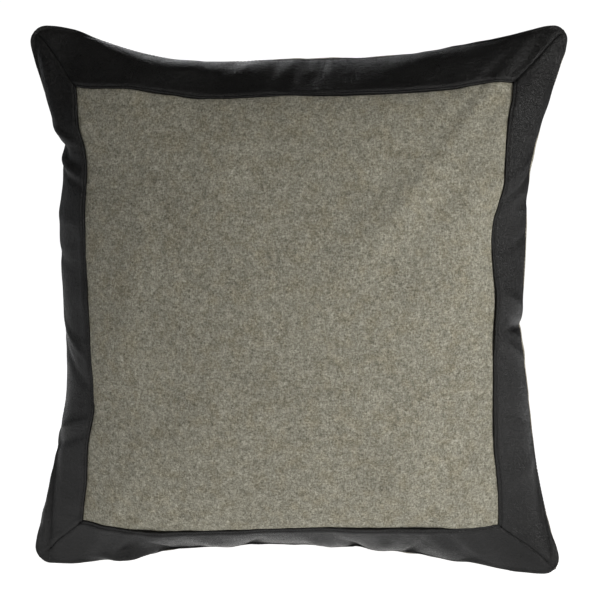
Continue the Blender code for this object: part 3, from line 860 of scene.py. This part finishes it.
def down(tree, shader, coords):
    clumps = noise(tree, coords, 60, 5, 0.7)
    barbs = noise(tree, coords, 900, 3, 0.7, (1.0, 1.0, 5.0))
    base = ramp(tree, clumps, (0.3, (0.55, 0.52, 0.47)), (0.7, (0.82, 0.80, 0.76)))
    tree.links.new(mix(tree, "MULTIPLY", grey(tree, barbs, 0.0, 0.4, 0.3, 0.7), base, (0.7, 0.68, 0.64)), shader.inputs["Base Color"])
    tree.links.new(bump_node(tree, math_node(tree, "ADD", clumps, barbs), 0.0012, 0.8), shader.inputs["Normal"])
    tree.links.new(grey(tree, barbs, 0.85, 1.0), shader.inputs["Roughness"])
    shader.inputs["Sheen Weight"].default_value = 0.3


def nylon(tree, shader, coords):
    streak = noise(tree, coords, 1800, 2, 0.5, (1, 1, 6))
    tree.links.new(ramp(tree, streak, (0.3, (0.012, 0.012, 0.013)), (0.7, (0.022, 0.022, 0.023))), shader.inputs["Base Color"])
    tree.links.new(bump_node(tree, streak, 0.00005, 0.6), shader.inputs["Normal"])
    tree.links.new(grey(tree, streak, 0.28, 0.42), shader.inputs["Roughness"])


def gunmetal(tree, shader, coords):
    brushed = noise(tree, coords, 2400, 3, 0.6, (1, 5, 1))
    worn = noise(tree, coords, 420, 3, 0.6)
    base = ramp(tree, worn, (0.35, (0.055, 0.055, 0.057)), (0.75, (0.135, 0.132, 0.128)))
    tree.links.new(base, shader.inputs["Base Color"])
    tree.links.new(bump_node(tree, brushed, 0.00004, 0.5), shader.inputs["Normal"])
    tree.links.new(grey(tree, brushed, 0.26, 0.42, 0.3, 0.7), shader.inputs["Roughness"])
    shader.inputs["Metallic"].default_value = 0.9


WOOL_FRONT = finish(
    "wool_melange", wool((0.088, 0.081, 0.060), (0.232, 0.222, 0.176), (0.412, 0.400, 0.338), (0.85, 0.78, 0.65), 1.0)
)
WOOL_BACK = finish(
    "wool_reverse", wool((0.155, 0.139, 0.104), (0.330, 0.306, 0.248), (0.520, 0.492, 0.420), (0.88, 0.80, 0.66), 1.0)
)
LEATHER_MAT = finish("black_hide", leather)
THREAD_MAT = finish("black_thread", twisted((0.008, 0.008, 0.008), (0.028, 0.027, 0.026)))
CAMBRIC_MAT = finish("white_cambric", plain_weave((0.60, 0.58, 0.53), (0.78, 0.76, 0.71), 560.0, 0.82))
DOWN_MAT = finish("feather_filling", down)
TAPE_MAT = finish("zip_tape_weave", plain_weave((0.010, 0.010, 0.011), (0.030, 0.030, 0.031), 300.0, 0.78, 0.0002))
COIL_MAT = finish("zip_coil_nylon", nylon)
METAL_MAT = finish("zip_gunmetal", gunmetal)
LABEL_MAT = finish("label_satin", plain_weave((0.62, 0.61, 0.57), (0.82, 0.81, 0.77), 700.0, 0.6, 0.00008, 0.1))


# ------------------------------------------------------------------ the cover
steps = np.linspace(-1, 1, GRID)
U, V = np.meshgrid(steps, steps)
RU, RV = rounded(U, V)
cut_flat = np.stack([RU * HALF, 0 * RU, 0.253 + RV * HALF], -1)
front_start, back_start = start_surface(U, V, -1), start_surface(U, V, 1)
front_grid, back_grid = simulate(front_start, back_start, cut_flat)
front_grid, back_grid = settle(front_grid, back_grid)
FRONT, BACK = Side(front_grid, -1), Side(back_grid, 1)


def layers(side, u, v, lift, thick):
    base, n = side.point(u, v), side.normal(u, v)
    outer = apart(base + n * lift[..., None], side.side)
    under = np.minimum(lift, 0.0) - thick
    inner = apart(base + n * under[..., None], side.side, 0.8 * thick)
    return outer, inner


def fine_ends(count, fine, reach):
    """Steps from -1 to 1 with close ones near both ends."""
    inner = np.linspace(-reach, reach, count)
    tail = np.array(fine)
    return np.concatenate([-tail[::-1], inner, tail])


SLIT = 0.00016 / HALF
grid = fine_ends(151, (0.985, 0.992, 0.9965, 1.0), 0.976) * (EDGE - SLIT)
gu, gv = np.meshgrid(grid, grid)
wool_face = skin("wool_face", *layers(FRONT, gu, gv, wool_lift(gu, gv), WOOL), WOOL_FRONT)

grid = fine_ends(157, (0.972, 0.980, 0.986, 0.991, 0.995, 0.998, 1.0), 0.962)
gu, gv = np.meshgrid(grid, grid)
wool_reverse = skin("wool_reverse", *layers(BACK, gu, gv, back_lift(gu, gv), WOOL), WOOL_BACK)

near = np.array([0, 0.15, 0.4, 0.8, 1.3, 1.8, 2.1, 2.4, 2.7, 3.1, 3.8, 4.8, 6.0, 7.4, 9.0, 10.5, 11.8, 13.2]) / 1000
middle = np.linspace(0.0150, 0.0440, 17)
far = (HALF - HALF * EDGE) - np.array([5.6, 4.6, 3.8, 3.0, 2.2, 1.6, 1.1, 0.7, 0.35, 0.12, 0.0]) / 1000
OUT = EDGE + np.concatenate([near, middle, far]) / HALF
OUT[0] += SLIT
OUT[-1] = 1.0
TURN = {
    "top": lambda r, t: (t, r),
    "right": lambda r, t: (r, t),
    "bottom": lambda r, t: (t, -r),
    "left": lambda r, t: (-r, t),
}
WHICH = {"top": 0, "right": 1, "bottom": 2, "left": 3}
ALONG = fine_ends(291, (0.9845, 0.9880, 0.9912, 0.9940, 0.9964, 0.9984, 1.0), 0.981)
borders, edge_rows = {}, {}
for name, turn in TURN.items():
    r = np.repeat(OUT[:, None], len(ALONG), 1)
    t = ALONG[None, :] * (r - 0.00008 / HALF)
    u, v = turn(r, t)
    lift = leather_lift(u, v, np.full(u.shape, WHICH[name]), t, r)
    borders[name] = skin("leather_" + name, *layers(FRONT, u, v, lift, LEATHER), LEATHER_MAT)
    # edge stitching, 2.4 mm out from the fold
    r = np.full(700, EDGE + 0.0024 / HALF)
    t = np.linspace(-1, 1, 700) * (r - 0.0020 / HALF)
    u, v = turn(r, t)
    lift = leather_lift(u, v, np.full(u.shape, WHICH[name]), t, r)
    line = FRONT.point(u, v) + FRONT.normal(u, v) * lift[:, None]
    share, centre, ahead = along_path(line, 0.0032)
    k = share * 699
    t_at = np.interp(k, np.arange(700), t)
    n = FRONT.normal(*turn(np.full(len(t_at), r[0]), t_at))
    up = unit(n - ahead * np.sum(n * ahead, -1, keepdims=True))
    edge_rows[name] = beads("stitches_" + name, centre + up * 0.00018, ahead, up, 0.0027, 0.00055, 0.00050, THREAD_MAT)

mitres = {}
for name, su, sv in (("tl", -1, 1), ("tr", 1, 1), ("br", 1, -1), ("bl", -1, -1)):
    r = np.linspace(EDGE + 0.004, 0.955, 160)
    u, v = su * r, sv * r
    line = FRONT.point(u, v) - FRONT.normal(u, v) * 0.00125
    share, centre, ahead = along_path(line, 0.0030)
    rr = np.interp(share * 159, np.arange(160), r)
    n = FRONT.normal(su * rr, sv * rr)
    up = unit(n - ahead * np.sum(n * ahead, -1, keepdims=True))
    mitres[name] = beads("mitre_thread_" + name, centre, ahead, up, 0.0025, 0.00045, 0.00045, THREAD_MAT)


def rim_path(side, share0, share1, count, inset=0.0):
    """Points of the outer seam from the bottom's middle to the right and round."""
    w = (np.linspace(share0, share1, count) * 4 + 0.5) % 4.0
    which, t = np.floor(w).astype(int) % 4, (w % 1.0) * 2 - 1
    k = 1.0 - inset
    u = np.choose(which, [t * k, np.full(count, k), -t * k, np.full(count, -k)])
    v = np.choose(which, [np.full(count, -k), t * k, np.full(count, k), -t * k])
    return side.point(u, v), u, v


start = (ZIP_HALF + 0.016) / (0.2485 * 8)
line_f, u, v = rim_path(FRONT, start, 1 - start, 1500, 0.0028 / HALF)
line_b, _, _ = rim_path(BACK, start, 1 - start, 1500, 0.0028 / HALF)
line = (line_f + line_b) / 2
line[:, 1] = 0.0
share, centre, ahead = along_path(line, 0.0034)
across = np.zeros_like(ahead)
across[:, 1] = 1.0
rim_thread = beads("rim_thread", centre, ahead, across, 0.0029, 0.00050, 0.00055, THREAD_MAT, 0.0)

# ------------------------------------------------------------------ the insert
MID = np.array([0.0, 0.0, 0.2545])


def shrunk(side, u, v, across, deep, lower=0.0):
    """The cover's own shape drawn in towards its middle."""
    p = side.point(u, v) - MID
    return p * np.array([across, deep, across]) + MID + np.array([0, 0, lower])


def case_half(name, side, thick):
    t = fine_ends(79, (0.978, 0.988, 0.995, 1.0), 0.968)
    u, v = np.meshgrid(t, t)
    base = shrunk(side, u, v, 0.895, 0.925)
    r = np.maximum(np.abs(u), np.abs(v))
    which, along, _ = tell(u, v)
    pucker = 0.0007 * noise1(along * HALF / 0.008 + 9, 61) * np.exp(-(1 - r) * HALF / 0.012)
    soft = 0.0016 * noise2(u * HALF / 0.045 + 20, v * HALF / 0.045 + 20, 62)
    y = base[..., 1] + side.side * (pucker + soft * (1 - r**4))
    base[..., 1] = side.side * np.maximum(side.side * y, 0.00045)
    inner = base - side.normal(u, v) * thick
    inner[..., 1] = side.side * np.maximum(side.side * inner[..., 1], 0.00045)
    return skin(name, base, inner, CAMBRIC_MAT)


case_front = case_half("insert_cloth_front", FRONT, 0.0006)
case_back = case_half("insert_cloth_back", BACK, 0.0006)

path, u, v = rim_path(FRONT, 0.0, 1.0, 900)
path = shrunk(FRONT, u, v, 0.895, 0.925)[:-1]
path[:, 1] = 0.0
share, centre, ahead = along_path(path, 0.0040)
outward = unit(centre - MID)
outward = unit(outward - ahead * np.sum(outward * ahead, -1, keepdims=True))
insert_hem = beads("insert_hem", centre + outward * 0.0006, ahead, outward, 0.0038, 0.0007, 0.0009, CAMBRIC_MAT, 0.0)


def filling():
    n = 81
    t = np.linspace(-1, 1, n)
    u, v = np.meshgrid(t, t)
    r = np.maximum(np.abs(u), np.abs(v))
    sides = []
    for side in (FRONT, BACK):
        p = shrunk(side, u, v, 0.862, 0.875)
        clumps = 0.0022 * noise2(u * 11 + 30, v * 11 + 30, 63) + 0.0010 * noise2(u * 29 + 30, v * 29 + 30, 64)
        p[..., 1] += side.side * clumps * (1 - r**6)
        p[..., 1] = np.where(r >= 1, 0.0, side.side * np.maximum(side.side * p[..., 1], 0.0002))
        sides.append(p)
    at = np.arange(n * n).reshape(n, n)
    inner = at[1:-1, 1:-1]
    other = at.copy()
    other[1:-1, 1:-1] = n * n + np.arange(inner.size).reshape(inner.shape)
    points = np.concatenate([sides[0].reshape(-1, 3), sides[1][1:-1, 1:-1].reshape(-1, 3)])

    def quads(a):
        return np.stack([a[:-1, :-1], a[:-1, 1:], a[1:, 1:], a[1:, :-1]], -1).reshape(-1, 4)

    faces = np.concatenate([quads(at), quads(other)[:, ::-1]])
    tri = points[faces]
    if np.einsum("ij,ij->", tri[:, 0], np.cross(tri[:, 1], tri[:, 2])) < 0:
        faces = faces[:, ::-1]
    return new_mesh("feather_fill", points, faces, DOWN_MAT)


feather_fill = filling()


# ------------------------------------------------------------------ the zip
def on_arch(angle, up, y):
    angle, up, y = np.broadcast_arrays(angle, up, y)
    radius = ZIP_R + up
    return np.stack(
        [radius * np.sin(angle), y, ARCH_TOP - ZIP_R + radius * np.cos(angle)], -1
    )


def coil(name, side):
    """A continuous spring of nylon thread, its turns flattened towards the slot."""
    turns, per, around, wire = 228, 12, 6, 0.00030
    a = np.arange(turns * per + 1) / per * 2 * math.pi
    angle = np.linspace(-0.1715, 0.1715, len(a)) / ZIP_R
    if side > 0:
        angle = angle + 0.00075 / ZIP_R
    y0, up0 = 0.0002 + COIL_W / 2, UP_COIL + COIL_H / 2
    ry, ru = COIL_W / 2 - wire * 1.02, COIL_H / 2 - wire * 1.02
    y = side * (y0 - ry * np.sign(np.cos(a)) * np.abs(np.cos(a)) ** 0.8)
    up = up0 + ru * np.sign(np.sin(a)) * np.abs(np.sin(a)) ** 0.8
    path = on_arch(angle, up, y)
    tangent = unit(np.gradient(path, axis=0))
    first = unit(np.cross(tangent, np.array([1.0, 0.0, 0.0])))
    second = np.cross(tangent, first)
    b = np.arange(around) * 2 * math.pi / around
    ring = path[:, None] + wire * (
        np.cos(b)[None, :, None] * first[:, None] + np.sin(b)[None, :, None] * second[:, None]
    )
    count = len(path)
    at = np.arange(count * around).reshape(count, around)
    nxt = np.roll(at, -1, 1)
    faces = np.stack([at[:-1], nxt[:-1], nxt[1:], at[1:]], -1).reshape(-1, 4)
    faces = [tuple(f) for f in faces] + [tuple(at[0][::-1]), tuple(at[-1])]
    obj = new_mesh(name, ring.reshape(-1, 3), faces, COIL_MAT, 60)
    return obj


coil_front, coil_back = coil("coil_front", -1), coil("coil_back", 1)


def tape(name, side):
    """A woven tape: ribs along it, a corded edge by the coil and a selvedge above."""
    angle, w = np.meshgrid(np.linspace(-0.174, 0.174, 360) / ZIP_R, np.linspace(0, 1, 45))
    rib = np.abs(np.sin(w * math.pi * 11)) ** 0.6
    cord = bump(w, 0.03, 0.045) + 0.7 * bump(w, 0.965, 0.04)
    pick = 0.00003 * np.sin(angle * ZIP_R / 0.0011 * math.pi + np.pi * (np.floor(w * 11) % 2))
    swell = 0.00012 * noise1(angle * ZIP_R / 0.017 + 30, 66 + side) * smooth(0.2, 1.0, w)
    y0 = 0.00022 + 0.00012 + swell
    y1 = y0 + 0.00030 + 0.00009 * rib + 0.00010 * cord + pick
    up = UP_TAPE - 0.0003 + (TAPE_W + 0.0003) * w
    return skin(name, on_arch(angle, up, side * y1), on_arch(angle, up, side * y0), TAPE_MAT)


def tape_seam(name, side):
    """The row of stitches that holds a tape, near its upper edge."""
    angle = np.linspace(-0.172, 0.172, 900) / ZIP_R
    line = on_arch(angle, UP_TAPE + 0.0072, side * 0.00082)
    share, centre, ahead = along_path(line, 0.0030)
    out = np.zeros_like(ahead)
    out[:, 1] = side
    return beads(name, centre, ahead, out, 0.0026, 0.00042, 0.00030, THREAD_MAT)


def label():
    """A blank folded satin label: its ends turned under, its face a little wavy."""
    a, w = np.meshgrid(np.linspace(-1, 1, 90), np.linspace(0, 1, 41))
    angle = (0.115 + 0.0130 * a) / ZIP_R
    up = UP_TAPE + 0.0018 + 0.0090 * w + 0.00012 * np.sin(a * 5.0) * (1 - w)
    hem = smooth(0.86, 0.89, np.abs(a))
    wave = 0.00011 * np.sin(a * 6.3 + 0.8) * (1 - w) + 0.00005 * np.sin(a * 15 + w * 4)
    y1 = 0.00176 + wave + 0.00008 * hem - 0.00006 * bump(np.abs(a), 0.845, 0.02)
    y1 = y1 - 0.00010 * bump(w, 0.0, 0.06)
    y0 = 0.00152 + wave - 0.00010 * hem
    return skin("label_satin_fold", on_arch(angle, up, y1), on_arch(angle, up, y0), LABEL_MAT)


tapes = {"front": tape("tape_front", -1), "back": tape("tape_back", 1)}
tape_seams = {"front": tape_seam("tape_stitch_front", -1), "back": tape_seam("tape_stitch_back", 1)}
label_fold = label()

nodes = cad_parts


def dress(name, made):
    mesh = nodes[name].data
    mesh.materials.clear()
    mesh.materials.append(made)


for name in ("zip_slider", "zip_pull", "zip_stop_start", "zip_stop_end"):
    dress(name, METAL_MAT)

# ------------------------------------------------------------------ what stands for what
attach(wool_face, "cover")
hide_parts("front_panel")
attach(wool_reverse, "cover")
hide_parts("back_panel")
for name in TURN:
    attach(borders[name], "cover")
    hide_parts("border_" + name)
    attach(edge_rows[name], "cover")
    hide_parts("edge_stitch_" + name)
for name in mitres:
    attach(mitres[name], "cover")
    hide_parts("mitre_stitch_" + name)
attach(rim_thread, "cover")
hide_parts("perimeter_seam")
for piece, old in ((case_front, "insert_case_front"), (case_back, "insert_case_back")):
    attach(piece, "cover")
    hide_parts(old)
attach(insert_hem, "cover")
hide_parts("insert_seam")
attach(feather_fill, "cover")
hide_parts("insert_fill")
for piece, old in ((coil_front, "zip_coil_front"), (coil_back, "zip_coil_back")):
    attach(piece, "cover")
    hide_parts(old)
for way in ("front", "back"):
    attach(tapes[way], "cover")
    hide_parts("zip_tape_" + way)
    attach(tape_seams[way], "cover")
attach(label_fold, "cover")
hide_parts("care_label")

# ------------------------------------------------------------------ studio
FLOOR_GLOW = 0.85
floor_mat = bpy.data.materials.new("studio_floor")
floor_mat.use_nodes = True
shader = floor_mat.node_tree.nodes["Principled BSDF"]
shader.inputs["Base Color"].default_value = (0.93, 0.93, 0.93, 1.0)
shader.inputs["Roughness"].default_value = 0.9
shader.inputs["Specular IOR Level"].default_value = 0.1
shader.inputs["Emission Color"].default_value = (1.0, 1.0, 1.0, 1.0)
shader.inputs["Emission Strength"].default_value = FLOOR_GLOW
mesh = bpy.data.meshes.new("studio_floor")
ring = [(1.7 * math.cos(a * math.pi / 64), 1.7 * math.sin(a * math.pi / 64), 0) for a in range(128)]
mesh.from_pydata(ring, [], [tuple(range(128))])
mesh.materials.append(floor_mat)
floor = bpy.data.objects.new("studio_floor", mesh)
bpy.context.scene.collection.objects.link(floor)


def softbox(name, place, aim, size, energy, colour=(1.0, 1.0, 1.0)):
    data = bpy.data.lights.new(name, "AREA")
    data.shape = "RECTANGLE"
    data.size, data.size_y = size
    data.energy = energy
    data.color = colour
    lamp = bpy.data.objects.new(name, data)
    lamp.location = place
    lamp.rotation_euler = (Vector(aim) - Vector(place)).to_track_quat("-Z", "Y").to_euler()
    bpy.context.scene.collection.objects.link(lamp)


softbox("key", (1.80, -1.26, 0.55), (0.0, 0.0, 0.24), (0.8, 0.8), 24.5, (1.0, 0.99, 0.965))
softbox("near_right", (1.0, -0.8, 0.6), (0.0, 0.0, 0.24), (0.5, 0.7), 2.2, (1.0, 0.99, 0.97))
softbox("over", (0.0, -1.03, 2.19), (0.0, 0.0, 0.24), (0.8, 0.8), 4.8, (1.0, 0.97, 0.92))
softbox("back_left", (-1.7, 0.75, 0.7), (0.0, 0.0, 0.24), (0.5, 0.7), 1.8, (0.93, 0.96, 1.0))
softbox("back_top", (-0.5, 1.5, 1.5), (0.0, 0.0, 0.24), (0.5, 0.7), 7.0, (0.97, 0.98, 1.0))

world = bpy.data.worlds.new("studio")
world.use_nodes = True
tree = world.node_tree
tree.nodes.clear()
seen = node(tree, "ShaderNodeBackground", {"Color": (1.0, 1.0, 1.0, 1.0), "Strength": 1.05})
lit = node(tree, "ShaderNodeBackground", {"Color": (1.0, 1.0, 1.0, 1.0), "Strength": 0.03})
which = node(tree, "ShaderNodeLightPath").outputs["Is Camera Ray"]
both = node(tree, "ShaderNodeMixShader", {0: which, 1: lit.outputs[0], 2: seen.outputs[0]})
out = node(tree, "ShaderNodeOutputWorld")
tree.links.new(both.outputs[0], out.inputs["Surface"])
bpy.context.scene.world = world
bpy.context.scene.view_settings.view_transform = "Standard"
bpy.context.scene.view_settings.look = "None"

# ------------------------------------------------------------------ camera
AIM, AZIMUTH, ELEVATION, DISTANCE = Vector((0.0036, 0.0, 0.2535)), 4.0, 5.0, 1.6
az, el = math.radians(AZIMUTH), math.radians(ELEVATION)
data = bpy.data.cameras.new("photo_view")
data.sensor_width = 36.0
data.lens = 36.0 * DISTANCE / 0.558
data.clip_start = 0.05
camera = bpy.data.objects.new("photo_view", data)
camera.location = AIM + DISTANCE * Vector(
    (math.sin(az) * math.cos(el), -math.cos(az) * math.cos(el), math.sin(el))
)
camera.rotation_euler = (AIM - camera.location).to_track_quat("-Z", "Y").to_euler()
bpy.context.scene.collection.objects.link(camera)
bpy.context.scene.camera = camera
